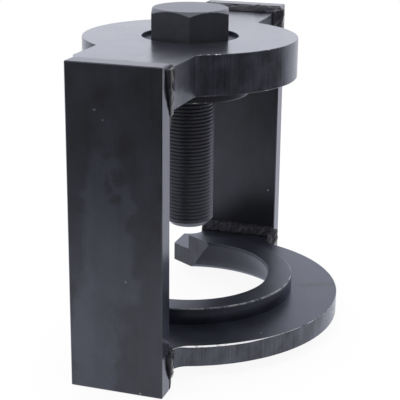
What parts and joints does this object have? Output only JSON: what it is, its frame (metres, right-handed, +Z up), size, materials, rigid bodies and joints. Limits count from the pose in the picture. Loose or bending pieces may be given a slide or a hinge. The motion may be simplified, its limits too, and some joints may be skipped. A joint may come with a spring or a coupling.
{
  "type": "slack adjuster puller",
  "caption": "Welded steel puller frame: a hex-head forcing screw in a round top plate stands above an open horseshoe base plate with a raised lip and a conical bore.",
  "frame": {"origin": "on the forcing screw's axis, in the plane of the side plates' feet", "axes": "+Z up along the forcing screw, towards its head; +Y from the front side plate to the rear one; -X towards the mouth of the base plate"},
  "size_m": [0.1497, 0.2286, 0.1844],
  "materials": {
    "plate_steel": "black oxide, semi-gloss",
    "turned_steel": "black oxide over turned and milled faces",
    "screw_steel": "black oxide",
    "weld_metal": "black oxide over weld beads, glossy"
  },
  "bodies": {
    "frame": {"front_side_plate": "plate_steel", "rear_side_plate": "plate_steel", "top_plate": "plate_steel", "base_plate": "turned_steel", "threaded_bush": "turned_steel", "front_top_weld": "weld_metal", "rear_top_weld": "weld_metal", "front_bottom_weld": "weld_metal", "rear_bottom_weld": "weld_metal"},
    "screw": {"forcing_screw": "screw_steel"}
  },
  "joints": [
    {"name": "forcing_screw_travel", "type": "slide", "parent": "frame", "child": "screw", "axis": [0, 0, 1], "range_m": [-0.0006, 0.075]}
  ]
}
